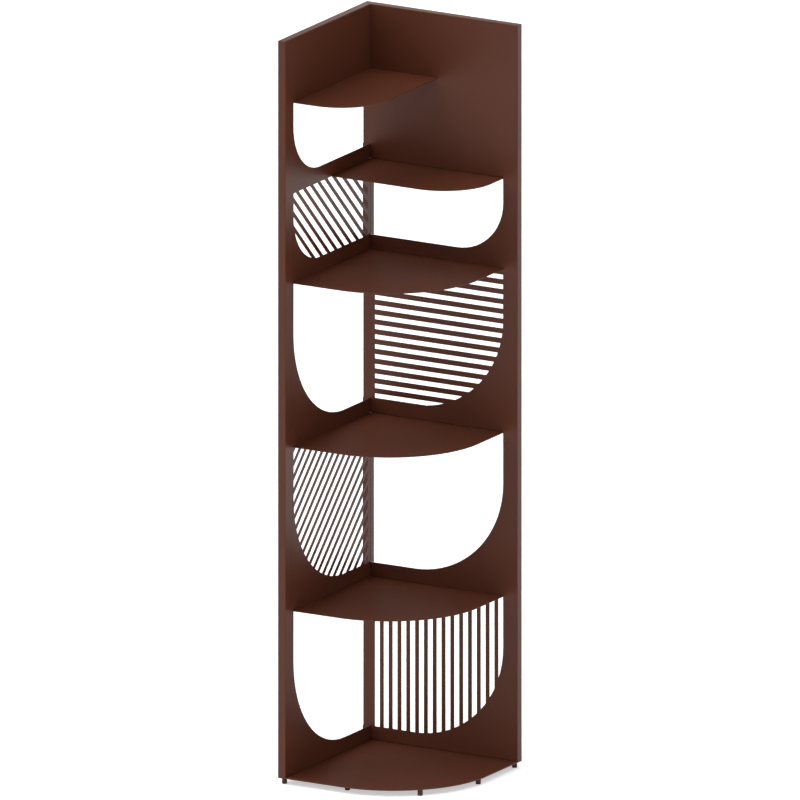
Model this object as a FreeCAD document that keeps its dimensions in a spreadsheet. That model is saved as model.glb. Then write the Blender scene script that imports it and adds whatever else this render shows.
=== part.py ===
"""Corner shelf unit of folded sheet steel: two slotted panels, a base plate, five shelves and six feet.

The frame is centred on the unit's footprint with +Z up and the floor at Z = 0. Pieces are drawn from the
inner corner, where the faces of the two panels meet: +X runs along the right panel, -Y along the left
panel. Each finished piece then moves from there to the frame. Sizes are in millimetres.
"""
import FreeCAD, Part
import math
import os
import re
import Sketcher

doc = FreeCAD.newDocument("corner_shelf_unit")

# Driving dimensions: alias, value, meaning
SIZES = (
    ("side", 401, "length of a panel from the inner corner to its front edge"),
    ("flange_depth", 20, "depth of a panel tray"),
    ("panel_sheet", 1.5, "sheet thickness of the panels"),
    ("bend_radius", 2, "outer radius of a panel's folds"),
    ("shelf_sheet", 2, "sheet thickness of the shelves"),
    ("base_sheet", 3, "thickness of the base plate"),
    ("tall_bay", 400, "rise from one deep shelf to the next"),
    ("short_bay", 220.7, "rise from one half shelf to the next"),
    ("top_rim", 158.6, "height of the panels above the top shelf"),
    ("foot_height", 15, "height of the base plate above the floor"),
    ("front_border", 39.5, "solid strip between an opening and the panel's front edge"),
    ("rail", 37.5, "solid strip between a shelf and the opening above it"),
    ("corner_tab", 18, "depth of the tab that is folded back along a right cut-out's corner edge"),
    ("tall_radius", 240, "rounded corner of the deep shelves and tall openings"),
    ("short_radius", 125, "rounded corner of the half shelves and short openings"),
    ("base_radius", 250, "rounded corner of the base plate"),
    ("slot_border", 12.2, "solid strip between a slot and the inner corner"),
    ("slot_pitch", 24, "distance from one slot to the next"),
    ("level_slot", 11.1, "width of a level slot"),
    ("level_start", 2, "rise of the first level slot above the rail"),
    ("upright_slot", 13.6, "width of an upright slot"),
    ("slanted_slot", 14.2, "width of a slanted slot"),
    ("forward_start", 18.65, "first slot rising to the front, from the foot of its field at the corner"),
    ("backward_start", 15.65, "first slot rising to the corner, from the foot of its field at the corner"),
    ("upstand_height", 24, "height of a shelf's upstand, from the underside"),
    ("upstand_gap", 0.5, "gap between an upstand and the ends of its cut-out"),
    ("upstand_radius", 15, "rounded upper corners of an upstand"),
    ("stud_rise", 13, "height of the weld studs above a shelf's underside"),
    ("stud_margin", 30, "distance of the end studs from the ends of an upstand"),
    ("stud_pitch", 140, "largest distance from one stud to the next"),
    ("stud_radius", 2.5, "M5 weld studs"),
    ("stud_length", 11, "length of the weld studs"),
    ("hole_gap", 0.25, "clearance round a stud in its hole"),
    ("thread_gap", 0.05, "clearance of a stud in its nut"),
    ("nut_width", 8, "width across flats of a nut"),
    ("nut_height", 5, "height of a nut with its flange"),
    ("nut_flange_radius", 5.5, "radius of a nut's flange"),
    ("nut_flange_height", 1.2, "thickness of a nut's flange"),
    ("joint_rise", 18, "height of a corner stud above a shelf's underside"),
    ("joint_drop", 60, "distance of the top corner stud below the panels' top"),
    ("base_stud_margin", 70, "distance of the end base studs from the ends of a panel"),
    ("wall_hole_radius", 2.75, "holes in each top flange for an anti-tip bracket"),
    ("wall_hole_spacing", 240, "distance between the two holes in a top flange"),
    ("pad_radius", 6.25, "outer radius of a foot"),
    ("pad_gap", 0.5, "gap between a foot and the base plate"),
    ("pad_floor", 4, "thickness of a foot's floor"),
    ("boss_radius", 4.3, "outer radius of a foot's threaded boss"),
    ("boss_gap", 1, "gap between a boss and the floor of its foot"),
    ("socket_gap", 0.3, "clearance between a foot and its boss"),
    ("foot_stud_radius", 3, "M6 stud of a foot"),
    ("foot_stud_gap", 1.5, "gap between a foot's stud and the base plate"),
    ("stud_seat", 2.5, "depth of a foot's stud in the foot's floor"),
    ("foot_inset", 14, "distance of the panels' front feet from the front edge"),
    ("left_foot_inset", 37, "distance of the left middle foot from the base plate's front edge"),
    ("left_foot_lead", 3, "distance of the left middle foot before the start of the rounded corner"),
    ("right_foot_inset", 13, "distance of the right middle foot from the base plate's front edge"),
    ("right_foot_lag", 12, "distance of the right middle foot past the start of the rounded corner"),
    ("arc_foot_inset", 8.9, "distance of the front foot from the base plate's rounded edge"),
)

sheet = doc.addObject("Spreadsheet::Sheet", "dims")
for row, (alias, value, meaning) in enumerate(SIZES, start=1):
    sheet.set(f"A{row}", meaning)
    sheet.set(f"B{row}", str(value))
    sheet.setAlias(f"B{row}", alias)
doc.recompute()

# Sizes worked out from the driving dimensions, in the words of the sheet
REACH = "(side - front_border)"
HALF_REACH = "(short_bay - rail)"
LEVEL = {
    "base": "(foot_height)",
    "lower": "(foot_height + tall_bay)",
    "middle": "(foot_height + 2 * tall_bay)",
    "upper": "(foot_height + 3 * tall_bay)",
    "wide_half": "(foot_height + 3 * tall_bay + short_bay)",
    "top_half": "(foot_height + 3 * tall_bay + 2 * short_bay)",
}
PANEL_FOOT = "(foot_height + base_sheet)"
PANEL_TOP = "(foot_height + 3 * tall_bay + 2 * short_bay + top_rim)"
INNER_FOOT = f"({PANEL_FOOT} + panel_sheet)"
INNER_TOP = f"({PANEL_TOP} - panel_sheet)"
SHEET_MIDDLE = "(panel_sheet / 2)"
FLANGE_MIDDLE = "((panel_sheet + flange_depth) / 2)"
HOLE = "(stud_radius + hole_gap)"
UPSTAND_START = "(panel_sheet + upstand_gap)"
UPSTAND_END = f"({REACH} - upstand_gap)"
FOLD_DEPTH = "(panel_sheet + shelf_sheet)"
SHIFT = "(side - flange_depth) / 2"
DIAGONAL = "sqrt(0.5)"

# Tools that cut a panel reach this far to both sides of its face, and the bars of its slots further still
FIELD_REACH = "(2 * flange_depth)"
BAR_REACH = "(3 * flange_depth)"

# Shelves: reach along the right panel and along the left panel, corner radius, panel that carries the shelf
SHELVES = {
    "lower": (REACH, REACH, "tall_radius", "left"),
    "middle": (REACH, REACH, "tall_radius", "right"),
    "upper": (REACH, REACH, "tall_radius", "left"),
    "wide_half": (REACH, HALF_REACH, "short_radius", "right"),
    "top_half": (HALF_REACH, REACH, "short_radius", "left"),
}

# Turns that lay a piece's own upward axis along a direction
TURN = {
    "-x": FreeCAD.Rotation(FreeCAD.Vector(0, 1, 0), -90),
    "x": FreeCAD.Rotation(FreeCAD.Vector(0, 1, 0), 90),
    "y": FreeCAD.Rotation(FreeCAD.Vector(1, 0, 0), -90),
    "z": FreeCAD.Rotation(),
}


def words(expression):
    """The expression with each size named as a cell of the sheet."""
    return re.sub(r"\b(?!sqrt\b)[a-z][a-z_]*", lambda name: f"dims.{name.group()}", expression)


def bind(item, prop, expression):
    """Ties a property of an object to the sheet."""
    item.setExpression(prop, words(expression))


def value_of(expression):
    """The present value of an expression in the sheet's sizes."""
    number = sheet.evalExpression(words(expression))
    return float(getattr(number, "Value", number))


def place(item, x, y, z, turn=TURN["z"]):
    """Puts an object's own origin at a point given by three expressions."""
    item.Placement = FreeCAD.Placement(FreeCAD.Vector(), turn)
    for axis, expression in zip("xyz", (x, y, z)):
        bind(item, f"Placement.Base.{axis}", expression)
    return item


def block(name, x, y, z):
    """A square-edged block between two expressions along each axis."""
    box = doc.addObject("Part::Box", name)
    for prop, (low, high) in zip(("Length", "Width", "Height"), (x, y, z)):
        bind(box, prop, f"({high}) - ({low})")
    return place(box, x[0], y[0], z[0])


def rod(name, point, direction, length, radius):
    """A round bar from a point, along a direction."""
    bar = doc.addObject("Part::Cylinder", name)
    bind(bar, "Radius", radius)
    bind(bar, "Height", length)
    return place(bar, *point, TURN[direction])


def drill(name, middle, axis, thickness, radius):
    """A drill through a sheet, standing out of both faces by the sheet's thickness."""
    start = list(middle)
    index = "xyz".index(axis)
    length = f"3 * {thickness}"
    start[index] = f"({middle[index]}) - {length} / 2"
    return rod(name, start, axis, length, radius)


def hexagon(name, point, direction, length, width):
    """A hexagonal bar from a point, along a direction."""
    bar = doc.addObject("Part::Prism", name)
    bar.Polygon = 6
    bind(bar, "Circumradius", f"({width}) / sqrt(3)")
    bind(bar, "Height", length)
    return place(bar, *point, TURN[direction])


def group(name, solids):
    """Several separate solids in one object."""
    compound = doc.addObject("Part::Compound", name)
    compound.Links = solids
    return compound


def fuse(name, pieces):
    """Several pieces joined into one solid."""
    joined = doc.addObject("Part::MultiFuse", name)
    joined.Shapes = pieces
    joined.Refine = True
    return joined


def cut(name, base, tools):
    """A piece with every tool taken out of it."""
    result = doc.addObject("Part::Cut", name)
    result.Base = base
    result.Tool = tools[0] if len(tools) == 1 else group(f"{name}_tools", tools)
    result.Refine = True
    return result


def origin_plane(body, role):
    """One of a body's own origin planes."""
    return next(plane for plane in body.Origin.OriginFeatures if plane.Role == role)


def slab(name, role, low, width, height, depth, rounded=(), radius=None):
    """A rectangular pad whose named corners are rounded.

    The rectangle stands on one of the body's origin planes with its first corner at the body's own origin,
    which is then put at the point low. Corners are pairs of 0 and 1, the near and far end of width and
    height.
    """
    body = doc.addObject("PartDesign::Body", name)
    sketch = body.newObject("Sketcher::SketchObject", f"{name}_outline")
    sketch.AttachmentSupport = [(origin_plane(body, role), "")]
    sketch.MapMode = "FlatFace"
    wide = value_of(width)
    high = value_of(height)
    corners = [(0, 0), (wide, 0), (wide, high), (0, high)]
    for start, end in zip(corners, corners[1:] + corners[:1]):
        sketch.addGeometry(Part.LineSegment(FreeCAD.Vector(*start), FreeCAD.Vector(*end)))
    for line in range(4):
        sketch.addConstraint(Sketcher.Constraint("Coincident", line, 2, (line + 1) % 4, 1))
        sketch.addConstraint(Sketcher.Constraint("Vertical" if line % 2 else "Horizontal", line))
    sketch.addConstraint(Sketcher.Constraint("Coincident", 0, 1, -1, 1))
    for line, label, size, expression in ((0, "width", wide, width), (1, "height", high, height)):
        index = sketch.addConstraint(Sketcher.Constraint("Distance", line, size))
        sketch.renameConstraint(index, label)
        bind(sketch, f"Constraints.{label}", expression)
    pad = body.newObject("PartDesign::Pad", f"{name}_pad")
    pad.Profile = sketch
    pad.Reversed = role == "XZ_Plane"
    bind(pad, "Length", depth)
    if rounded:
        doc.recompute()
        across, up = {"XY_Plane": ("x", "y"), "XZ_Plane": ("x", "z"), "YZ_Plane": ("y", "z")}[role]
        edges = []
        for number, edge in enumerate(pad.Shape.Edges, start=1):
            for right, top in rounded:
                ends = [(getattr(v.Point, across), getattr(v.Point, up)) for v in edge.Vertexes]
                if all(math.dist(end, (right * wide, top * high)) < 1e-6 for end in ends):
                    edges.append(f"Edge{number}")
        fillet = body.newObject("PartDesign::Fillet", f"{name}_round")
        fillet.Base = (pad, edges)
        bind(fillet, "Radius", radius)
        body.Tip = fillet
    return place(body, *low)


def spread(start, end, margin):
    """Evenly spread places between two ends, the first and last a margin from them."""
    run = f"(({end}) - ({start}) - 2 * ({margin}))"
    steps = max(1, math.ceil(value_of(f"{run} / stud_pitch")))
    return [f"({start}) + ({margin}) + {index} * {run} / {steps}" for index in range(steps + 1)]


def on_left(along, behind, height):
    """A point of the left panel, given along the panel from the inner corner and behind its face."""
    return f"-({behind})", f"-({along})", height


def on_right(along, behind, height):
    """A point of the right panel, given along the panel from the inner corner and behind its face."""
    return f"({along})", f"({behind})", height


# Places of the studs along an upstand, up the corner and along the bottom flanges, and of the anti-tip holes
SHELF_PLACES = spread(UPSTAND_START, UPSTAND_END, "stud_margin")
JOINT_HEIGHTS = [f"{level} + joint_rise" for level in LEVEL.values()] + [f"{PANEL_TOP} - joint_drop"]
BASE_PLACES = spread("0", "side", "base_stud_margin")
WALL_PLACES = ["(side - wall_hole_spacing) / 2", "(side + wall_hole_spacing) / 2"]


# The two panels: a tray each, with the sheet towards the shelves and the flanges turned away from them
def bent_tray(name, role, low, width, cavity):
    """A shallow tray whose sheet is folded round all four sides."""
    tray = slab(f"{name}_sheet", role, low, width, f"{PANEL_TOP} - {PANEL_FOOT}", "flange_depth")
    doc.recompute()
    pad = tray.Tip
    face = {"YZ_Plane": lambda p: abs(p.x - value_of("flange_depth")), "XZ_Plane": lambda p: abs(p.y)}[role]
    folds = [f"Edge{number}" for number, edge in enumerate(pad.Shape.Edges, start=1)
             if all(face(v.Point) < 1e-6 for v in edge.Vertexes)]
    fillet = tray.newObject("PartDesign::Fillet", f"{name}_folds")
    fillet.Base = (pad, folds)
    bind(fillet, "Radius", "bend_radius")
    tray.Tip = fillet
    return cut(f"{name}_tray", tray, [block(f"{name}_cavity", *cavity, (INNER_FOOT, INNER_TOP))])


def opening_span(below, above):
    """Foot and height of the opening between two shelves."""
    foot = f"({LEVEL[below]} + rail)"
    return foot, f"({LEVEL[above]} - {foot})"


def radius_for(below):
    """Radius of an opening's lower front corner: the short bays start at the upper shelf."""
    return "short_radius" if below in ("upper", "wide_half") else "tall_radius"


def left_field(name, below, above, border, over="0"):
    """The outline of a left opening, as a block through the sheet that ends over a shelf's underside."""
    foot, height = opening_span(below, above)
    low = (f"-{FIELD_REACH}", f"-{REACH}", foot)
    return slab(name, "YZ_Plane", low, f"{REACH} - {border}", f"{height} + {over}", f"2 * {FIELD_REACH}",
                [(0, 0)], radius_for(below))


def right_field(name, below, above, border, over="0"):
    """The outline of a right opening, as a block through the sheet that ends over a shelf's underside."""
    foot, height = opening_span(below, above)
    low = (border, f"-{FIELD_REACH}", foot)
    return slab(name, "XZ_Plane", low, f"{REACH} - {border}", f"{height} + {over}", f"2 * {FIELD_REACH}",
                [(1, 0)], radius_for(below))


def clipped(name, field, bars):
    """Pieces clipped by an outline, such as the bars of a field, which leave its slots."""
    common = doc.addObject("Part::Common", name)
    common.Base = field
    common.Tool = group(f"{name}_bars", bars)
    return common


def slanted_slots(name, below, above, start, to_front):
    """Slots at 45 degrees in the left panel, which rise to the front or to the corner.

    They are counted square to their own length, from the foot of their field at the inner corner.
    """
    field = left_field(f"{name}_field", below, above, "slot_border")
    foot, height = opening_span(below, above)
    turn = FreeCAD.Rotation(FreeCAD.Vector(1, 0, 0), -45 if to_front else 45)
    half_length = f"({REACH} + {height})"
    back = f"{half_length} * {DIAGONAL}"
    nearest = f"-{REACH} * {DIAGONAL}" if to_front else "0"
    furthest = f"{height} * {DIAGONAL}" if to_front else back
    first = math.floor(value_of(f"({nearest} - {start}) / slot_pitch"))
    last = math.ceil(value_of(f"({furthest} - {start}) / slot_pitch"))
    bars = []
    for index in range(first, last + 1):
        step = f"({start} + {index} * slot_pitch - slanted_slot / 2) * {DIAGONAL}"
        bar = doc.addObject("Part::Box", f"{name}_bar")
        bind(bar, "Length", f"2 * {BAR_REACH}")
        bind(bar, "Width", f"2 * {half_length}")
        bind(bar, "Height", "slanted_slot")
        y = f"{step} - {back}" if to_front else f"-{step} - {back}"
        z = f"{foot} + {step} + {back}" if to_front else f"{foot} + {step} - {back}"
        bars.append(place(bar, f"-{BAR_REACH}", y, z, turn))
    return clipped(name, field, bars)


def level_slots(name, below, above):
    """Level slots in the right panel."""
    field = right_field(f"{name}_field", below, above, "slot_border")
    foot, height = opening_span(below, above)
    count = math.floor(value_of(f"({height} - level_start) / slot_pitch"))
    bars = []
    for index in range(count):
        low = f"{foot} + level_start + {index} * slot_pitch"
        bars.append(block(f"{name}_bar", ("0", "side"), (f"-{BAR_REACH}", BAR_REACH),
                          (low, f"{low} + level_slot")))
    return clipped(name, field, bars)


def upright_slots(name, below, above):
    """Upright slots in the right panel, up to the last one that is at least half inside its field."""
    field = right_field(f"{name}_field", below, above, "slot_border")
    count = math.floor(value_of(f"({REACH} - slot_border - upright_slot / 2) / slot_pitch")) + 1
    bars = []
    for index in range(count):
        low = f"slot_border + {index} * slot_pitch"
        bars.append(block(f"{name}_bar", (low, f"{low} + upright_slot"), (f"-{BAR_REACH}", BAR_REACH),
                          (LEVEL[below], LEVEL[above])))
    return clipped(name, field, bars)


def flange_drills(name, point):
    """Drills through a panel's bottom and top flanges, for the base studs and an anti-tip bracket."""
    drills = []
    for along in BASE_PLACES:
        middle = point(along, FLANGE_MIDDLE, f"{PANEL_FOOT} + {SHEET_MIDDLE}")
        drills.append(drill(f"{name}_base_hole", middle, "z", "panel_sheet", HOLE))
    for along in WALL_PLACES:
        middle = point(along, FLANGE_MIDDLE, f"{PANEL_TOP} - {SHEET_MIDDLE}")
        drills.append(drill(f"{name}_wall_hole", middle, "z", "panel_sheet", "wall_hole_radius"))
    return drills


def folded_tab(name, below, above):
    """A tab folded back along the corner edge of a right cut-out, in line with the left panel's face."""
    foot, height = opening_span(below, above)
    return block(name, ("-panel_sheet", "0"), ("0", "corner_tab"),
                 (foot, f"{foot} + {height} + {FOLD_DEPTH}"))


left_tray = bent_tray("left", "YZ_Plane", ("-flange_depth", "-side", PANEL_FOOT), "side",
                      (("-flange_depth", "-panel_sheet"), ("panel_sheet - side", "-panel_sheet")))
left_panel = cut("left_panel", left_tray, [
    left_field("left_low_cutout", "base", "lower", "0", FOLD_DEPTH),
    slanted_slots("left_backward_slots", "lower", "middle", "backward_start", to_front=False),
    left_field("left_middle_cutout", "middle", "upper", "0", FOLD_DEPTH),
    slanted_slots("left_forward_slots", "upper", "wide_half", "forward_start", to_front=True),
    left_field("left_high_cutout", "wide_half", "top_half", "0", FOLD_DEPTH),
    *flange_drills("left", on_left)])

right_tray = bent_tray("right", "XZ_Plane", ("-flange_depth", "0", PANEL_FOOT), "side + flange_depth",
                       (("panel_sheet - flange_depth", "side - panel_sheet"),
                        ("panel_sheet", "flange_depth")))
right_blank = fuse("right_blank", [right_tray, folded_tab("right_middle_tab", "lower", "middle"),
                                   folded_tab("right_high_tab", "upper", "wide_half")])
right_panel = cut("right_panel", right_blank, [
    upright_slots("right_upright_slots", "base", "lower"),
    right_field("right_middle_cutout", "lower", "middle", "0", FOLD_DEPTH),
    level_slots("right_level_slots", "middle", "upper"),
    right_field("right_high_cutout", "upper", "wide_half", "0", FOLD_DEPTH),
    *[drill("right_joint_hole", (f"-{FLANGE_MIDDLE}", SHEET_MIDDLE, height), "y", "panel_sheet", HOLE)
      for height in JOINT_HEIGHTS],
    *flange_drills("right", on_right)])

nodes = {"left_panel": left_panel, "right_panel": right_panel}


# Studs are welded on before coating, and every one takes a flange nut
def weld_stud(name, point, direction):
    """A threaded stud that stands on the point."""
    return rod(name, point, direction, "stud_length", "stud_radius")


def flange_nut(name, point, direction):
    """A hexagonal nut on its round flange; the flange lies on the point."""
    body = fuse(f"{name}_body", [
        hexagon(f"{name}_hexagon", point, direction, "nut_height", "nut_width"),
        rod(f"{name}_flange", point, direction, "nut_flange_height", "nut_flange_radius")])
    return cut(name, body, [rod(f"{name}_bore", point, direction, "nut_height", "stud_radius + thread_gap")])


# Shelves: each passes through the top of a cut-out and is bolted up behind the rail, on studs of that panel
def left_fold(name, level):
    """A shelf's rear edge, bent up behind the left panel; its flat top ends at the panel's face."""
    foot = f"-{UPSTAND_END}"
    along = f"{UPSTAND_END} - {UPSTAND_START}"
    outside = slab(f"{name}_outside", "XZ_Plane", (f"-{FOLD_DEPTH}", foot, level), f"2 * {FOLD_DEPTH}",
                   "upstand_height", along, [(0, 0)], FOLD_DEPTH)
    inside = slab(f"{name}_inside", "XZ_Plane", ("-panel_sheet", foot, f"{level} + shelf_sheet"),
                  f"panel_sheet + {FOLD_DEPTH}", "upstand_height", along, [(0, 0)], "panel_sheet")
    outline = slab(f"{name}_outline", "YZ_Plane", (f"-{FOLD_DEPTH}", foot, level), along, "upstand_height",
                   f"2 * {FOLD_DEPTH}", [(0, 1), (1, 1)], "upstand_radius")
    return clipped(name, outline, [cut(f"{name}_bent", outside, [inside])])


def right_fold(name, level):
    """A shelf's rear edge, bent up behind the right panel; its flat top ends at the panel's face."""
    along = f"{UPSTAND_END} - {UPSTAND_START}"
    outside = slab(f"{name}_outside", "YZ_Plane", (UPSTAND_START, f"-{FOLD_DEPTH}", level),
                   f"2 * {FOLD_DEPTH}", "upstand_height", along, [(1, 0)], FOLD_DEPTH)
    inside = slab(f"{name}_inside", "YZ_Plane", (UPSTAND_START, f"-{FOLD_DEPTH}", f"{level} + shelf_sheet"),
                  f"panel_sheet + {FOLD_DEPTH}", "upstand_height", along, [(1, 0)], "panel_sheet")
    outline = slab(f"{name}_outline", "XZ_Plane", (UPSTAND_START, f"-{FOLD_DEPTH}", level), along,
                   "upstand_height", f"2 * {FOLD_DEPTH}", [(0, 1), (1, 1)], "upstand_radius")
    return clipped(name, outline, [cut(f"{name}_bent", outside, [inside])])


for key, (right_reach, left_reach, radius, carrier) in SHELVES.items():
    level = LEVEL[key]
    rise = f"{level} + stud_rise"
    plate = slab(f"{key}_plate", "XY_Plane", ("0", f"-{left_reach}", level), right_reach, left_reach,
                 "shelf_sheet", [(1, 0)], radius)
    if carrier == "left":
        point, axis, backward, fold = on_left, "x", "-x", left_fold(f"{key}_fold", level)
    else:
        point, axis, backward, fold = on_right, "y", "y", right_fold(f"{key}_fold", level)
    nodes[f"{key}_shelf"] = cut(f"{key}_shelf", fuse(f"{key}_folded", [plate, fold]), [
        drill(f"{key}_hole", point(along, "panel_sheet + shelf_sheet / 2", rise), axis, "shelf_sheet", HOLE)
        for along in SHELF_PLACES])
    nodes[f"{key}_shelf_studs"] = group(f"{key}_shelf_studs", [
        weld_stud(f"{key}_stud", point(along, "panel_sheet", rise), backward) for along in SHELF_PLACES])
    nodes[f"{key}_shelf_nuts"] = group(f"{key}_shelf_nuts", [
        flange_nut(f"{key}_nut", point(along, FOLD_DEPTH, rise), backward) for along in SHELF_PLACES])

# Corner joint: studs of the left panel's rear flange pass through the right panel's sheet
nodes["corner_studs"] = group("corner_studs", [
    weld_stud("corner_stud", (f"-{FLANGE_MIDDLE}", "0", height), "y") for height in JOINT_HEIGHTS])
nodes["corner_nuts"] = group("corner_nuts", [
    flange_nut("corner_nut", (f"-{FLANGE_MIDDLE}", "panel_sheet", height), "y") for height in JOINT_HEIGHTS])

# Base plate under both panels, with studs that pass through the panels' bottom flanges
nodes["base_plate"] = group("base_plate", [
    slab("base_blank", "XY_Plane", ("-flange_depth", "-side", "foot_height"), "side + flange_depth",
         "side + flange_depth", "base_sheet", [(1, 0)], "base_radius")])
base_points = [point(along, FLANGE_MIDDLE, PANEL_FOOT) for point in (on_left, on_right)
               for along in BASE_PLACES]
nodes["base_studs"] = group("base_studs", [weld_stud("base_stud", foot, "z") for foot in base_points])
nodes["base_nuts"] = group("base_nuts", [
    flange_nut("base_nut", (x, y, INNER_FOOT), "z") for x, y, _ in base_points])

# Feet: a plastic pad with a threaded stud, which screws into a boss welded under the base plate
BEND_START = "(side - base_radius)"
ARC_FOOT = f"({BEND_START} + (base_radius - arc_foot_inset) * {DIAGONAL})"
FEET = {
    "left_front": ("-flange_depth / 2", "foot_inset - side"),
    "left_middle": (f"{BEND_START} - left_foot_lead", "left_foot_inset - side"),
    "front": (ARC_FOOT, f"-{ARC_FOOT}"),
    "right_middle": ("side - right_foot_inset", f"-{BEND_START} - right_foot_lag"),
    "right_front": ("side - foot_inset", "flange_depth / 2"),
    "back": ("-flange_depth / 2", "flange_depth / 2"),
}
BOSS_FOOT = "(pad_floor + boss_gap)"
STUD_FOOT = "(pad_floor - stud_seat)"
bosses = []
for key, (x, y) in FEET.items():
    boss_foot = (x, y, BOSS_FOOT)
    boss_length = f"foot_height - {BOSS_FOOT}"
    boss_blank = rod(f"{key}_boss_blank", boss_foot, "z", boss_length, "boss_radius")
    bosses.append(cut(f"{key}_boss", boss_blank, [
        rod(f"{key}_boss_bore", boss_foot, "z", boss_length, "foot_stud_radius + thread_gap")]))
    stud_foot = (x, y, STUD_FOOT)
    pad_blank = rod(f"{key}_pad_blank", (x, y, "0"), "z", "foot_height - pad_gap", "pad_radius")
    pad_hollow = fuse(f"{key}_pad_hollow", [
        rod(f"{key}_pad_socket", (x, y, "pad_floor"), "z", "foot_height", "boss_radius + socket_gap"),
        rod(f"{key}_pad_seat", stud_foot, "z", "foot_height", "foot_stud_radius")])
    nodes[f"foot_pad_{key}"] = cut(f"foot_pad_{key}", pad_blank, [pad_hollow])
    stud_length = f"foot_height - foot_stud_gap - {STUD_FOOT}"
    nodes[f"foot_stud_{key}"] = group(f"foot_stud_{key}", [
        rod(f"{key}_stud", stud_foot, "z", stud_length, "foot_stud_radius")])
nodes["foot_bosses"] = group("foot_bosses", bosses)

# Move every finished piece from the inner corner to the frame
for name, node in nodes.items():
    node.Label = name
    place(node, f"-{SHIFT}", SHIFT, "0")
doc.recompute()

for item in doc.Objects:
    if "Invalid" in item.State or "Error" in item.State:
        raise RuntimeError(f"{item.Label} failed: {item.State}")
os.makedirs("parts", exist_ok=True)
for name, node in nodes.items():
    shape = node.Shape
    if shape.isNull() or not shape.isValid() or not shape.Solids:
        raise RuntimeError(f"{name} has no valid solid")
    shape.exportStep(f"parts/{name}.step")
    print(f"{name}: {len(shape.Solids)} solids, {shape.Volume:.1f} mm3")
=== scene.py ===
"""Looks of the corner shelf unit: powder-coated folded steel, zinc-plated fasteners and dark levelling feet.

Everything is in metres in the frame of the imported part: +Z up, the floor at Z = 0, +X along the right
panel away from the inner corner and -Y along the left panel away from it.
"""
import logging
import math
from dataclasses import dataclass
from enum import Enum
from typing import Any

import bmesh
import bpy
from mathutils import Matrix, Vector


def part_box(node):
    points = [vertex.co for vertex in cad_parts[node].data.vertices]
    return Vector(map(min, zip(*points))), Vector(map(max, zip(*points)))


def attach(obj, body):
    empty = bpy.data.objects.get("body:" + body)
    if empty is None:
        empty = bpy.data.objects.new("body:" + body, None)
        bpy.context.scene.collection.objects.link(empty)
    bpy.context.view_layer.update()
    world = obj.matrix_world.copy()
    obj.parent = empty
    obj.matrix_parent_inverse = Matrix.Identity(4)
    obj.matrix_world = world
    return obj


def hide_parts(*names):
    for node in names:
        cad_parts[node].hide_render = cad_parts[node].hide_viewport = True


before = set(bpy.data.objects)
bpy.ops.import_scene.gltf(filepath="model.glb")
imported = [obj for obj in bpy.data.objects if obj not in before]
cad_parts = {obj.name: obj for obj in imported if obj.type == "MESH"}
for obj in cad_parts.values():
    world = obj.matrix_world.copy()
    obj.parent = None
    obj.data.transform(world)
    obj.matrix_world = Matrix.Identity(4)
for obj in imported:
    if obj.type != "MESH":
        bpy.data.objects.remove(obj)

LOG = logging.getLogger("corner_shelf")
MM = 0.001
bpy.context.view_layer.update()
WHITE = (1.0, 1.0, 1.0, 1.0)

# A face whose normal lies along an axis to within this share is a flat side of a sheet
FLAT = 0.9999

# Points of a sheet or of a fastener that are closer than this are one point
SHEET_MERGE = 0.001 * MM
FASTENER_MERGE = 0.0005 * MM

# Facets of a fastener that meet at a sharper angle than this keep their edge
FASTENER_SHARP_DEGREES = 35

# Decimals of a metre by which the places of solids are ordered
ORDER_DECIMALS = 4


class Slot(Enum):
    """The record's material slots."""

    COAT = "powder_coated_steel"
    ZINC = "zinc_plated_steel"
    PLASTIC = "foot_plastic"


class Pointing(Enum):
    """The way a fastener points, for each axis that it can lie along."""

    BEHIND_LEFT_PANEL = (-1, 0, 0)
    BEHIND_RIGHT_PANEL = (0, 1, 0)
    UPWARDS = (0, 0, 1)


def linear(hex_colour: str) -> tuple[float, float, float, float]:
    """Turns an sRGB hex colour into the linear colour that a shader takes.

    Args:
        hex_colour: Six hex digits after a hash sign.

    Returns:
        Red, green, blue and an alpha of 1.
    """
    shares = [int(hex_colour[place:place + 2], 16) / 255 for place in (1, 3, 5)]
    curve = [c / 12.92 if c <= 0.04045 else ((c + 0.055) / 1.055) ** 2.4 for c in shares]
    return curve[0], curve[1], curve[2], 1.0


def put(
        tree: bpy.types.NodeTree,
        kind: str,
        inputs: dict[Any, Any] | None = None,
        **settings: Any,
) -> bpy.types.Node:
    """Adds a node with its settings and links.

    Args:
        tree: The node tree to add to.
        kind: Blender's name for the kind of node.
        inputs: What goes into each socket, by name or number: a value, an output socket, a node, whose
            first output is taken, or a list of these for a socket that takes several.
        settings: The node's own properties.

    Returns:
        The new node.
    """
    node = tree.nodes.new(kind)
    for name, value in settings.items():
        setattr(node, name, value)
    for key, given in (inputs or {}).items():
        socket = node.inputs[key]
        for item in given if isinstance(given, list) else [given]:
            if isinstance(item, bpy.types.Node):
                tree.links.new(item.outputs[0], socket)
            elif isinstance(item, bpy.types.NodeSocket):
                tree.links.new(item, socket)
            else:
                socket.default_value = item
    return node


def new_material(name: str) -> tuple[bpy.types.Material, bpy.types.NodeTree, bpy.types.NodeSocket]:
    """Starts a material.

    Args:
        name: The real material and how its surface was made.

    Returns:
        The material, its emptied node tree and the surface socket of its output.
    """
    material = bpy.data.materials.new(name)
    material.use_nodes = True
    tree = material.node_tree
    tree.nodes.clear()
    output = put(tree, "ShaderNodeOutputMaterial")
    return material, tree, output.inputs["Surface"]


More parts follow.
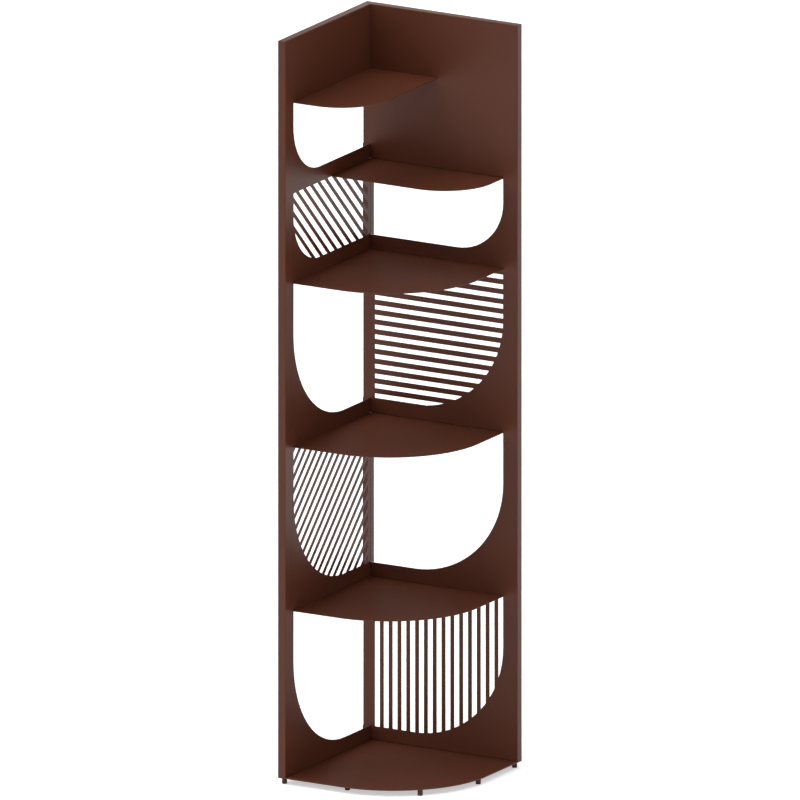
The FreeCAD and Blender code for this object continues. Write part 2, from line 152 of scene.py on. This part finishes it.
@dataclass(frozen=True)
class PowderCoat:
    """Polyester powder baked onto folded steel sheet.

    The eye sees an even chocolate brown with a soft satin sheen that turns grey where white surroundings
    are reflected at a shallow angle. The baked skin has a faint orange-peel ripple. Its ripples are a few
    millimetres across, and they are drawn somewhat coarser and deeper than real ones so that they show.
    """

    tone: str = "#5B3020"
    deep_tone: str = "#532C1D"
    roughness_low: float = 0.36
    roughness_high: float = 0.44
    gloss: float = 0.25
    ior: float = 1.5
    cloud_mm: float = 140.0
    cloud_detail: float = 3.0
    ripple_mm: float = 5.0
    ripple_detail: float = 1.0
    ripple_height_mm: float = 0.05
    ripple_strength: float = 0.25

    def build(self) -> bpy.types.Material:
        """Makes the material.

        Returns:
            The material.
        """
        material, tree, surface = new_material("powder_coated_steel_baked_satin")
        place = put(tree, "ShaderNodeTexCoord").outputs["Object"]
        cloud = put(tree, "ShaderNodeTexNoise", {
            "Vector": place, "Scale": 1 / (self.cloud_mm * MM), "Detail": self.cloud_detail})
        ripple = put(tree, "ShaderNodeTexNoise", {
            "Vector": place, "Scale": 1 / (self.ripple_mm * MM), "Detail": self.ripple_detail})
        colour = put(tree, "ShaderNodeMix", {
            0: cloud, 6: linear(self.deep_tone), 7: linear(self.tone)}, data_type="RGBA")
        roughness = put(tree, "ShaderNodeMapRange", {
            "Value": ripple, "To Min": self.roughness_low, "To Max": self.roughness_high})
        bump = put(tree, "ShaderNodeBump", {
            "Height": ripple, "Distance": self.ripple_height_mm * MM, "Strength": self.ripple_strength})
        shader = put(tree, "ShaderNodeBsdfPrincipled", {
            "Base Color": colour.outputs[2], "Roughness": roughness, "Normal": bump, "IOR": self.ior,
            "Specular IOR Level": self.gloss})
        tree.links.new(shader.outputs[0], surface)
        return material


@dataclass(frozen=True)
class ZincPlate:
    """Zinc plated onto cold-headed steel, then passivated in a bath.

    The eye sees a bright cool grey with a faint straw tint that drifts over each fastener, and a soft
    mottled gloss.
    """

    cool_tone: str = "#C3C7C9"
    straw_tone: str = "#C8C2AE"
    roughness_low: float = 0.24
    roughness_high: float = 0.42
    drift_mm: float = 6.0
    drift_detail: float = 2.0
    mottle_mm: float = 1.5

    def build(self) -> bpy.types.Material:
        """Makes the material.

        Returns:
            The material.
        """
        material, tree, surface = new_material("zinc_plated_steel_passivated")
        place = put(tree, "ShaderNodeTexCoord").outputs["Object"]
        drift = put(tree, "ShaderNodeTexNoise", {
            "Vector": place, "Scale": 1 / (self.drift_mm * MM), "Detail": self.drift_detail})
        mottle = put(tree, "ShaderNodeTexNoise", {"Vector": place, "Scale": 1 / (self.mottle_mm * MM)})
        colour = put(tree, "ShaderNodeMix", {
            0: drift, 6: linear(self.cool_tone), 7: linear(self.straw_tone)}, data_type="RGBA")
        roughness = put(tree, "ShaderNodeMapRange", {
            "Value": mottle, "To Min": self.roughness_low, "To Max": self.roughness_high})
        shader = put(tree, "ShaderNodeBsdfPrincipled", {
            "Base Color": colour.outputs[2], "Metallic": 1.0, "Roughness": roughness})
        tree.links.new(shader.outputs[0], surface)
        return material


@dataclass(frozen=True)
class MouldedPlastic:
    """Polyamide moulded in a spark-eroded tool.

    The eye sees a dark brown, much like the frame's, that is almost matt. The grain is about half a
    millimetre across, and it is drawn twice as coarse so that it shows.
    """

    tone: str = "#472A21"
    pale_tone: str = "#523127"
    roughness: float = 0.55
    gloss: float = 0.25
    ior: float = 1.53
    grain_mm: float = 1.0
    grain_detail: float = 3.0
    grain_height_mm: float = 0.04
    grain_strength: float = 0.5

    def build(self) -> bpy.types.Material:
        """Makes the material.

        Returns:
            The material.
        """
        material, tree, surface = new_material("polyamide_moulded_fine_grain")
        place = put(tree, "ShaderNodeTexCoord").outputs["Object"]
        grain = put(tree, "ShaderNodeTexNoise", {
            "Vector": place, "Scale": 1 / (self.grain_mm * MM), "Detail": self.grain_detail})
        colour = put(tree, "ShaderNodeMix", {
            0: grain, 6: linear(self.tone), 7: linear(self.pale_tone)}, data_type="RGBA")
        bump = put(tree, "ShaderNodeBump", {
            "Height": grain, "Distance": self.grain_height_mm * MM, "Strength": self.grain_strength})
        shader = put(tree, "ShaderNodeBsdfPrincipled", {
            "Base Color": colour.outputs[2], "Roughness": self.roughness, "IOR": self.ior, "Normal": bump,
            "Specular IOR Level": self.gloss})
        tree.links.new(shader.outputs[0], surface)
        return material


@dataclass(frozen=True)
class Finishes:
    """The materials of the unit, by slot."""

    by_slot: dict[Slot, bpy.types.Material]

    @classmethod
    def make(cls) -> "Finishes":
        """Builds every material once.

        Returns:
            The finishes.
        """
        return cls({
            Slot.COAT: PowderCoat().build(),
            Slot.ZINC: ZincPlate().build(),
            Slot.PLASTIC: MouldedPlastic().build(),
        })

    def __getitem__(self, slot: Slot) -> bpy.types.Material:
        """Gives the material of a slot.

        Args:
            slot: The slot.

        Returns:
            Its material.
        """
        return self.by_slot[slot]


def add_piece(name: str, mesh: bpy.types.Mesh, body: str, node: str) -> None:
    """Shows a finished mesh as a piece of the unit.

    Args:
        name: The piece's name.
        mesh: Its mesh, in place and with its material.
        body: The body that it rides on.
        node: The CAD node that it replaces.
    """
    piece = bpy.data.objects.new(name, mesh)
    bpy.context.scene.collection.objects.link(piece)
    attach(piece, body)
    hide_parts(node)
    LOG.info("%s rides on %s: %d faces", name, body, len(mesh.polygons))


def merged_copy(node: str) -> bmesh.types.BMesh:
    """Copies a CAD node's mesh and joins its loose triangles.

    Args:
        node: The node's name.

    Returns:
        The copy.
    """
    copy = bmesh.new()
    copy.from_mesh(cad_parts[node].data)
    bmesh.ops.remove_doubles(copy, verts=copy.verts, dist=SHEET_MERGE)
    return copy


def solid_boxes(node: str) -> list[tuple[Vector, Vector]]:
    """Finds the separate solids of a CAD node.

    Args:
        node: The node's name.

    Returns:
        The lowest and highest corner of each solid, ordered by height and then by place.
    """
    copy = merged_copy(node)
    left = set(copy.verts)
    boxes = []
    while left:
        found = {left.pop()}
        fringe = set(found)
        while fringe:
            fringe = {edge.other_vert(vert) for vert in fringe for edge in vert.link_edges} - found
            found |= fringe
        left -= found
        low = Vector([min(vert.co[axis] for vert in found) for axis in range(3)])
        high = Vector([max(vert.co[axis] for vert in found) for axis in range(3)])
        boxes.append((low, high))
    copy.free()
    return sorted(boxes, key=lambda box: [round(box[0][axis], ORDER_DECIMALS) for axis in (2, 0, 1)])


@dataclass
class SheetMetal:
    """A piece of folded or cut sheet with eased edges, made from its CAD solid."""

    node: str
    edge_mm: float = 0.4
    fold_mm: float = 1.2
    sharp_degrees: float = 40.0
    edge_segments: int = 2
    fold_segments: int = 4
    roundness: float = 0.5

    def build(self, name: str, material: bpy.types.Material) -> None:
        """Builds the piece and shows it in place of its node.

        Args:
            name: The piece's name.
            material: Its finish.
        """
        sheet = merged_copy(self.node)
        self.shape(sheet)
        self.ease(sheet, True, self.fold_mm, self.fold_segments)
        self.ease(sheet, False, self.edge_mm, self.edge_segments)
        low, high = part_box(self.node)
        for vert in sheet.verts:
            vert.co = [min(max(place, least), most) for place, least, most in zip(vert.co, low, high)]
        bmesh.ops.remove_doubles(sheet, verts=sheet.verts, dist=SHEET_MERGE)
        for face in sheet.faces:
            face.smooth = max(abs(share) for share in face.normal) < FLAT
        mesh = bpy.data.meshes.new(name)
        sheet.to_mesh(mesh)
        sheet.free()
        mesh.materials.append(material)
        add_piece(name, mesh, "frame", self.node)

    def shape(self, sheet: bmesh.types.BMesh) -> None:
        """Leaves the sheet as its solid is.

        Args:
            sheet: The mesh to work on.
        """

    def ease(self, sheet: bmesh.types.BMesh, hollow: bool, width_mm: float, segments: int) -> None:
        """Rounds the sharp edges, either those of inward folds or those of outer corners.

        Args:
            sheet: The mesh to work on.
            hollow: Whether inward edges are rounded, or outward ones.
            width_mm: Width of the rounding.
            segments: Number of strips that make it.
        """
        edges = []
        for edge in sheet.edges:
            if len(edge.link_faces) == 2 and edge.calc_face_angle() > math.radians(self.sharp_degrees):
                if edge.is_convex != hollow:
                    edges.append(edge)
        if edges:
            bmesh.ops.bevel(
                sheet, geom=edges, offset=width_mm * MM, offset_type="OFFSET", segments=segments,
                profile=self.roundness, affect="EDGES", clamp_overlap=False)


@dataclass
class TabbedPanel(SheetMetal):
    """The right panel, whose cut-outs end at the inner corner in tabs folded back.

    The free edge of each tab runs a little below its cut-out, behind the rail, so that no light shows there.
    """

    tab_depth_mm: float = 18.0
    drop_mm: float = 5.0
    reach_across_mm: float = 2.0
    reach_behind_mm: float = 1.0
    shortest_tab_mm: float = 100.0

    def shape(self, sheet: bmesh.types.BMesh) -> None:
        """Pulls the lower ends of the tabs' free edges down.

        Args:
            sheet: The mesh to work on.
        """
        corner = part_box("left_panel")[1].x
        free_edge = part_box(self.node)[0].y + self.tab_depth_mm * MM
        on_tabs = {
            vert for vert in sheet.verts
            if abs(vert.co.x - corner) < self.reach_across_mm * MM
            and abs(vert.co.y - free_edge) < self.reach_behind_mm * MM
        }
        ends = set()
        for edge in sheet.edges:
            lower, upper = sorted(edge.verts, key=lambda vert: vert.co.z)
            long_enough = upper.co.z - lower.co.z > self.shortest_tab_mm * MM
            if long_enough and lower in on_tabs and upper in on_tabs:
                ends.add(lower)
        for vert in ends:
            vert.co.z -= self.drop_mm * MM
        LOG.info("%s: %d corners of tabs pulled down", self.node, len(ends))


@dataclass
class Seat:
    """Where a fastener sits and the way it points."""

    point: Vector
    pointing: Pointing


def seats_of(node: str, slim: bool) -> list[Seat]:
    """Reads the seats of a node's fasteners from the frame.

    Args:
        node: The node that holds them.
        slim: Whether they are longer than wide, as studs are, or flatter, as nuts are.

    Returns:
        A seat for each solid of the node.
    """
    seats = []
    for low, high in solid_boxes(node):
        size = high - low
        axis = max(range(3), key=lambda a: size[a] if slim else -size[a])
        pointing = list(Pointing)[axis]
        point = (low + high) / 2
        point[axis] = low[axis] if pointing.value[axis] > 0 else high[axis]
        seats.append(Seat(point, pointing))
    return seats


class Pattern:
    """A Geometry Nodes tree that makes one fastener from its sizes and repeats it on seats."""

    # Half the height of a thread's ridge, and the plain length at a rod's ends, as shares of the pitch
    RIDGE_SHARE = 0.5
    PLAIN_SHARE = 2.0

    # Radius of a rod's tip, as a share of its core
    TIP_SHARE = 0.8

    # Number of sides of the ridge's section
    RIDGE_SIDES = 4

    def __init__(self, name: str, sizes: dict[str, float | int]) -> None:
        """Starts the tree, with an input for each size.

        Args:
            name: The tree's name.
            sizes: Value of each input, in metres or as a count.
        """
        self.sizes = sizes
        self.tree = bpy.data.node_groups.new(name, "GeometryNodeTree")
        self.sockets = {}
        self.new_socket("Seats", "NodeSocketGeometry")
        self.new_socket("Finish", "NodeSocketMaterial")
        for size, value in sizes.items():
            self.new_socket(size, "NodeSocketInt" if isinstance(value, int) else "NodeSocketFloat")
        self.tree.interface.new_socket("Fasteners", in_out="OUTPUT", socket_type="NodeSocketGeometry")
        self.given = put(self.tree, "NodeGroupInput").outputs

    def new_socket(self, name: str, kind: str) -> None:
        """Adds a named input to the tree.

        Args:
            name: The input's name.
            kind: Blender's name for its kind of socket.
        """
        socket = self.tree.interface.new_socket(name, in_out="INPUT", socket_type=kind)
        self.sockets[name] = socket.identifier

    def maths(self, operation: str, first: Any, second: Any = 0.0) -> bpy.types.Node:
        """Works out a number from two others.

        Args:
            operation: Blender's name for the operation.
            first: The first number, or the node or socket that gives it.
            second: The second one.

        Returns:
            The node that gives the result.
        """
        return put(self.tree, "ShaderNodeMath", {0: first, 1: second}, operation=operation)

    def bar(self, sides: Any, foot: Any, top: Any, length: Any, lift: Any = 0.0) -> bpy.types.Node:
        """Makes a bar that stands on its seat.

        Args:
            sides: Number of sides.
            foot: Radius at its foot.
            top: Radius at its top.
            length: Length along its axis.
            lift: Height of its foot above the seat.

        Returns:
            The node that moves the bar into place.
        """
        cone = put(self.tree, "GeometryNodeMeshCone", {
            "Vertices": sides, "Radius Bottom": foot, "Radius Top": top, "Depth": length})
        raised = put(self.tree, "ShaderNodeCombineXYZ", {"Z": lift})
        return put(self.tree, "GeometryNodeTransform", {
            "Geometry": cone.outputs["Mesh"], "Translation": raised})

    def combine(self, operation: str, *bodies: bpy.types.Node) -> bpy.types.Node:
        """Joins, overlaps or subtracts solid bodies.

        Args:
            operation: Blender's name for the operation.
            bodies: The nodes that make the bodies. In a difference, the others are cut out of the first.

        Returns:
            The node that gives the result.
        """
        inputs = {1: list(bodies)}
        if operation == "DIFFERENCE":
            inputs = {0: bodies[0], 1: list(bodies[1:])}
        return put(self.tree, "GeometryNodeMeshBoolean", inputs, operation=operation, solver="EXACT")

    def thread(self, radius: Any, length: Any, pitch: Any, sides: Any) -> bpy.types.Node:
        """Makes a rod with a helical ridge.

        Args:
            radius: Radius over the ridge.
            length: Length of the rod from its seat.
            pitch: Rise of one turn.
            sides: Number of sides of one turn.

        Returns:
            The node that joins core and ridge.
        """
        half_ridge = self.maths("MULTIPLY", pitch, self.RIDGE_SHARE)
        core = self.maths("SUBTRACT", radius, half_ridge)
        tip = self.maths("MULTIPLY", core, self.TIP_SHARE)
        shank = self.maths("SUBTRACT", length, half_ridge)
        plain = self.maths("MULTIPLY", pitch, self.PLAIN_SHARE)
        turns = self.maths("DIVIDE", self.maths("SUBTRACT", length, plain), pitch)
        rise = self.maths("MULTIPLY", turns, pitch)
        helix = put(self.tree, "GeometryNodeCurveSpiral", {
            "Resolution": sides, "Rotations": turns, "Start Radius": core, "End Radius": core,
            "Height": rise})
        upright = put(self.tree, "GeometryNodeSetCurveNormal", {"Curve": helix}, mode="Z_UP")
        section = put(self.tree, "GeometryNodeCurvePrimitiveCircle", {
            "Resolution": self.RIDGE_SIDES, "Radius": half_ridge})
        ridge = put(self.tree, "GeometryNodeCurveToMesh", {
            "Curve": upright, "Profile Curve": section.outputs["Curve"], "Fill Caps": True})
        raised = put(self.tree, "ShaderNodeCombineXYZ", {"Z": half_ridge})
        placed = put(self.tree, "GeometryNodeTransform", {"Geometry": ridge, "Translation": raised})
        straight = self.bar(sides, core, core, shank)
        pointed = self.bar(sides, core, tip, half_ridge, shank)
        rod = self.combine("UNION", straight, pointed)
        return put(self.tree, "GeometryNodeJoinGeometry", {0: [rod, placed]})

    def close(self, fastener: bpy.types.Node) -> "Pattern":
        """Repeats the fastener on the seats and ends the tree.

        Args:
            fastener: The node that makes one fastener on its seat, pointing up.

        Returns:
            This pattern.
        """
        pointing = put(
            self.tree, "GeometryNodeInputNamedAttribute", {"Name": "pointing"}, data_type="FLOAT_VECTOR")
        turn = put(self.tree, "FunctionNodeAlignRotationToVector", {"Vector": pointing}, axis="Z")
        copies = put(self.tree, "GeometryNodeInstanceOnPoints", {
            "Points": self.given["Seats"], "Instance": fastener, "Rotation": turn})
        real = put(self.tree, "GeometryNodeRealizeInstances", {"Geometry": copies})
        dressed = put(self.tree, "GeometryNodeSetMaterial", {
            "Geometry": real, "Material": self.given["Finish"]})
        put(self.tree, "NodeGroupOutput", {0: dressed})
        return self

    def mesh(self, name: str, seats: list[Seat], material: bpy.types.Material) -> bpy.types.Mesh:
        """Runs the tree on a set of seats.

        Args:
            name: Name of the mesh.
            seats: Where the fasteners go.
            material: Their finish.

        Returns:
            A plain mesh that holds them all.
        """
        points = bpy.data.meshes.new(f"{name}_seats")
        points.from_pydata([seat.point for seat in seats], [], [])
        pointing = points.attributes.new("pointing", "FLOAT_VECTOR", "POINT")
        for item, seat in zip(pointing.data, seats):
            item.vector = seat.pointing.value
        holder = bpy.data.objects.new(f"{name}_holder", points)
        bpy.context.scene.collection.objects.link(holder)
        modifier = holder.modifiers.new("pattern", "NODES")
        modifier.node_group = self.tree
        modifier[self.sockets["Finish"]] = material
        for size, value in self.sizes.items():
            modifier[self.sockets[size]] = value
        mesh = bpy.data.meshes.new_from_object(holder.evaluated_get(bpy.context.evaluated_depsgraph_get()))
        holder.modifiers.clear()
        bpy.data.objects.remove(holder)
        bpy.data.meshes.remove(points)
        mesh.name = name
        clean = bmesh.new()
        clean.from_mesh(mesh)
        bmesh.ops.remove_doubles(clean, verts=clean.verts, dist=FASTENER_MERGE)
        bmesh.ops.recalc_face_normals(clean, faces=clean.faces)
        clean.to_mesh(mesh)
        clean.free()
        mesh.shade_smooth()
        mesh.set_sharp_from_angle(angle=math.radians(FASTENER_SHARP_DEGREES))
        return mesh


@dataclass
class FlangeNuts:
    """Hexagonal M5 nuts with a wide flange and chamfered corners."""

    across_flats: float = 8 * MM
    height: float = 5 * MM
    flange_radius: float = 5.5 * MM
    flange_height: float = 1.2 * MM
    bore: float = 2.55 * MM
    sides: int = 32

    def pattern(self) -> Pattern:
        """Draws up the nuts.

        Returns:
            The tree that makes them.
        """
        made = Pattern("flange_nuts", {
            "Across Flats": self.across_flats, "Height": self.height, "Flange Radius": self.flange_radius,
            "Flange Height": self.flange_height, "Bore": self.bore, "Sides": self.sides})
        given, maths = made.given, made.maths
        flat = maths("MULTIPLY", given["Across Flats"], 0.5)
        corner = maths("DIVIDE", given["Across Flats"], math.sqrt(3))
        spread_foot = maths("ADD", flat, maths("MULTIPLY", given["Height"], math.sqrt(3)))
        hexagon = made.bar(6, corner, corner, given["Height"])
        chamfer = made.bar(given["Sides"], spread_foot, flat, given["Height"])
        rim_height = maths("MULTIPLY", given["Flange Height"], 0.5)
        rim = made.bar(given["Sides"], given["Flange Radius"], given["Flange Radius"], rim_height)
        bell = made.bar(given["Sides"], given["Flange Radius"], flat, given["Flange Height"], rim_height)
        body = made.combine("UNION", made.combine("INTERSECT", hexagon, chamfer), rim, bell)
        bore_foot = maths("MULTIPLY", given["Height"], -0.5)
        bore_length = maths("MULTIPLY", given["Height"], 2.0)
        bore = made.bar(given["Sides"], given["Bore"], given["Bore"], bore_length, bore_foot)
        return made.close(made.combine("DIFFERENCE", body, bore))


@dataclass
class WeldStuds:
    """Threaded studs, welded to the back of a panel or onto the base plate."""

    radius: float = 2.5 * MM
    length: float = 11 * MM
    pitch: float = 0.8 * MM
    sides: int = 20

    def pattern(self) -> Pattern:
        """Draws up the studs.

        Returns:
            The tree that makes them.
        """
        made = Pattern("weld_studs", {
            "Radius": self.radius, "Length": self.length, "Pitch": self.pitch, "Sides": self.sides})
        given = made.given
        return made.close(made.thread(given["Radius"], given["Length"], given["Pitch"], given["Sides"]))


@dataclass
class FootPads:
    """Fluted cup feet, moulded round a stud and open to the boss above."""

    radius: float = 6.25 * MM
    height: float = 14.5 * MM
    socket: float = 4.6 * MM
    floor: float = 4 * MM
    chamfer: float = 0.8 * MM
    flute: float = 0.3 * MM
    flutes: int = 16
    sides: int = 96

    def pattern(self) -> Pattern:
        """Draws up a pad.

        Returns:
            The tree that makes it.
        """
        made = Pattern("foot_pads", {
            "Radius": self.radius, "Height": self.height, "Socket": self.socket, "Floor": self.floor,
            "Chamfer": self.chamfer, "Flute": self.flute, "Flutes": self.flutes, "Sides": self.sides})
        given, maths = made.given, made.maths
        tread = maths("SUBTRACT", given["Radius"], given["Chamfer"])
        foot = made.bar(given["Sides"], tread, given["Radius"], given["Chamfer"])
        wall_height = maths("SUBTRACT", given["Height"], given["Chamfer"])
        wall = made.bar(given["Sides"], given["Radius"], given["Radius"], wall_height, given["Chamfer"])
        position = put(made.tree, "GeometryNodeInputPosition")
        split = put(made.tree, "ShaderNodeSeparateXYZ", {0: position})
        angle = maths("ARCTAN2", split.outputs["Y"], split.outputs["X"])
        wave = maths("COSINE", maths("MULTIPLY", angle, given["Flutes"]))
        depth = maths("MULTIPLY", maths("MULTIPLY", maths("SUBTRACT", wave, 1.0), 0.5), given["Flute"])
        outward = put(made.tree, "ShaderNodeVectorMath", {
            0: position, 1: (1.0, 1.0, 0.0)}, operation="MULTIPLY")
        unit = put(made.tree, "ShaderNodeVectorMath", {0: outward}, operation="NORMALIZE")
        push = put(made.tree, "ShaderNodeVectorMath", {0: unit, "Scale": depth}, operation="SCALE")
        solid = made.combine("UNION", foot, wall)
        fluted = put(made.tree, "GeometryNodeSetPosition", {"Geometry": solid, "Offset": push})
        hollow = made.bar(given["Sides"], given["Socket"], given["Socket"], given["Height"], given["Floor"])
        return made.close(made.combine("DIFFERENCE", fluted, hollow))


@dataclass
class Fasteners:
    """The weld studs and flange nuts that hold the panels, shelves and base plate together."""

    finishes: Finishes
    joints: tuple[str, ...]

    def build(self) -> None:
        """Builds the studs and nuts of every joint."""
        kinds = (("studs", WeldStuds().pattern(), True), ("nuts", FlangeNuts().pattern(), False))
        for joint in self.joints:
            for kind, pattern, slim in kinds:
                node = f"{joint}_{kind}"
                name = f"{node}_detailed"
                mesh = pattern.mesh(name, seats_of(node, slim), self.finishes[Slot.ZINC])
                add_piece(name, mesh, "frame", node)


@dataclass
class LevellingFeet:
    """The six feet, each a fluted pad on a threaded stud that moves with its own body."""

    finishes: Finishes
    places: tuple[str, ...]
    stud_radius: float = 3 * MM
    stud_pitch: float = 1 * MM

    def build(self) -> None:
        """Builds each foot on its body, and dresses the bosses that stay on the frame."""
        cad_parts["foot_bosses"].data.materials[0] = self.finishes[Slot.COAT]
        low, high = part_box(f"foot_stud_{self.places[0]}")
        pads = FootPads().pattern()
        studs = WeldStuds(self.stud_radius, (high - low).z, self.stud_pitch).pattern()
        for place in self.places:
            body = f"foot_{place}"
            for node, pattern, slot in ((f"foot_pad_{place}", pads, Slot.PLASTIC),
                                        (f"foot_stud_{place}", studs, Slot.ZINC)):
                low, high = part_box(node)
                seat = Seat(Vector(((low.x + high.x) / 2, (low.y + high.y) / 2, low.z)), Pointing.UPWARDS)
                name = f"{node}_detailed"
                mesh = pattern.mesh(name, [seat], self.finishes[slot])
                add_piece(name, mesh, body, node)


@dataclass
class SteelFrame:
    """The two panels, the base plate and the five shelves."""

    finishes: Finishes
    shelves: tuple[str, ...]

    def build(self) -> None:
        """Builds every sheet with eased edges."""
        sheets = [SheetMetal("left_panel"), TabbedPanel("right_panel"), SheetMetal("base_plate")]
        sheets += [SheetMetal(f"{shelf}_shelf") for shelf in self.shelves]
        for sheet in sheets:
            sheet.build(f"{sheet.node}_coated", self.finishes[Slot.COAT])


@dataclass(frozen=True)
class Lamp:
    """A wide soft lamp, so far away that it lights the whole floor evenly."""

    name: str
    comes_from: tuple[float, float, float]
    strength: float
    spread_degrees: float = 80.0

    def build(self) -> None:
        """Adds the lamp."""
        data = bpy.data.lights.new(self.name, "SUN")
        data.energy = self.strength
        data.angle = math.radians(self.spread_degrees)
        lamp = bpy.data.objects.new(self.name, data)
        lamp.matrix_world = Vector(self.comes_from).to_track_quat("Z", "Y").to_matrix().to_4x4()
        bpy.context.scene.collection.objects.link(lamp)


@dataclass(frozen=True)
class StripLamp:
    """A long low lamp behind the unit and a little above it, which brightens the tops of the panels."""

    name: str = "strip_lamp"
    place: tuple[float, float, float] = (-0.36, 0.49, 1.92)
    aims_at: tuple[float, float, float] = (0.0, 0.0, 1.815)
    length: float = 1.4
    height: float = 0.15
    power: float = 0.75

    def build(self) -> None:
        """Adds the lamp."""
        data = bpy.data.lights.new(self.name, "AREA")
        data.shape = "RECTANGLE"
        data.size = self.length
        data.size_y = self.height
        data.energy = self.power
        lamp = bpy.data.objects.new(self.name, data)
        place = Vector(self.place)
        turn = (place - Vector(self.aims_at)).to_track_quat("Z", "Y").to_matrix().to_4x4()
        lamp.matrix_world = Matrix.Translation(place) @ turn
        lamp.visible_camera = False
        bpy.context.scene.collection.objects.link(lamp)


@dataclass
class Studio:
    """A pale floor, soft light and the photograph's camera.

    The photograph is a parallel view. The pixel of the inner corner on the floor and the scale place the
    camera. It looks down on the floor everywhere, so the floor alone is the white background, and the room
    above is dim. The unit is lit from above and from its left side, weakly from its right, and along the
    tops of its panels by a strip behind them.
    """

    image_pixels: float = 800.0
    pixels_per_mm: float = 0.424
    corner_pixel: tuple[float, float] = (370.3, 747.1)
    azimuth_degrees: float = 30.0
    elevation_degrees: float = 15.0
    distance: float = 6.0
    floor_half: float = 40.0
    floor_tone: str = "#ECECEC"
    floor_glow: float = 0.5
    room_strength: float = 0.14
    lamps: tuple[Lamp, ...] = (
        Lamp("overhead_lamp", (0.1, -0.2, 1.0), 1.5),
        Lamp("left_lamp", (-0.8, -0.5, 0.9), 1.9),
        Lamp("right_lamp", (1.0, -0.4, 0.35), 0.78),
    )
    strip: StripLamp = StripLamp()

    def build(self) -> None:
        """Builds the camera, the light and the floor."""
        self.add_camera()
        self.light_room()
        for lamp in self.lamps:
            lamp.build()
        self.strip.build()
        self.add_floor()
        bpy.context.scene.view_settings.view_transform = "Standard"

    def add_camera(self) -> None:
        """Sets the camera so that the inner corner falls on its pixel."""
        azimuth = math.radians(self.azimuth_degrees)
        elevation = math.radians(self.elevation_degrees)
        right = Vector((math.cos(azimuth), math.sin(azimuth), 0))
        forward = Vector((
            -math.sin(azimuth) * math.cos(elevation),
            math.cos(azimuth) * math.cos(elevation),
            -math.sin(elevation),
        ))
        up = right.cross(forward)
        metres_per_pixel = MM / self.pixels_per_mm
        corner = Vector((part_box("left_panel")[1].x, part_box("right_panel")[0].y, 0))
        middle = self.image_pixels / 2
        centre = corner + right * (middle - self.corner_pixel[0]) * metres_per_pixel
        centre += up * (self.corner_pixel[1] - middle) * metres_per_pixel
        data = bpy.data.cameras.new("camera")
        data.type = "ORTHO"
        data.ortho_scale = self.image_pixels * metres_per_pixel
        camera = bpy.data.objects.new("camera", data)
        turn = Matrix((right, up, -forward)).transposed().to_4x4()
        camera.matrix_world = Matrix.Translation(centre - forward * self.distance) @ turn
        bpy.context.scene.collection.objects.link(camera)
        bpy.context.scene.camera = camera

    def light_room(self) -> None:
        """Gives an even dim light from all around."""
        world = bpy.data.worlds.new("dim_room")
        world.use_nodes = True
        tree = world.node_tree
        tree.nodes.clear()
        room = put(tree, "ShaderNodeBackground", {"Color": WHITE, "Strength": self.room_strength})
        put(tree, "ShaderNodeOutputWorld", {"Surface": room})
        bpy.context.scene.world = world

    def add_floor(self) -> None:
        """Adds the floor, which keeps the unit's shadow and is white to the camera and in reflections."""
        material, tree, surface = new_material("matt_white_floor")
        path = put(tree, "ShaderNodeLightPath")
        seen = put(tree, "ShaderNodeMath", {
            0: path.outputs["Is Camera Ray"], 1: path.outputs["Is Glossy Ray"]}, operation="MAXIMUM")
        shown = put(tree, "ShaderNodeMath", {
            0: seen, 1: path.outputs["Is Transmission Ray"]}, operation="MAXIMUM")
        strength = put(tree, "ShaderNodeMapRange", {
            "Value": shown, "To Min": 0.0, "To Max": self.floor_glow})
        glow = put(tree, "ShaderNodeEmission", {"Color": WHITE, "Strength": strength})
        matt = put(tree, "ShaderNodeBsdfDiffuse", {"Color": linear(self.floor_tone)})
        both = put(tree, "ShaderNodeAddShader", {0: matt, 1: glow})
        tree.links.new(both.outputs[0], surface)
        half = self.floor_half
        corners = [(-half, -half, 0), (half, -half, 0), (half, half, 0), (-half, half, 0)]
        mesh = bpy.data.meshes.new("floor")
        mesh.from_pydata(corners, [], [(0, 1, 2, 3)])
        mesh.materials.append(material)
        floor = bpy.data.objects.new("floor", mesh)
        bpy.context.scene.collection.objects.link(floor)


def main() -> None:
    """Builds the unit and the studio."""
    logging.basicConfig(level=logging.INFO, format="%(name)s: %(message)s")
    shelves = ("lower", "middle", "upper", "wide_half", "top_half")
    feet = ("left_front", "left_middle", "front", "right_middle", "right_front", "back")
    finishes = Finishes.make()
    Studio().build()
    SteelFrame(finishes, shelves).build()
    Fasteners(finishes, (*(f"{shelf}_shelf" for shelf in shelves), "corner", "base")).build()
    LevellingFeet(finishes, feet).build()


if __name__ == "__main__":
    main()
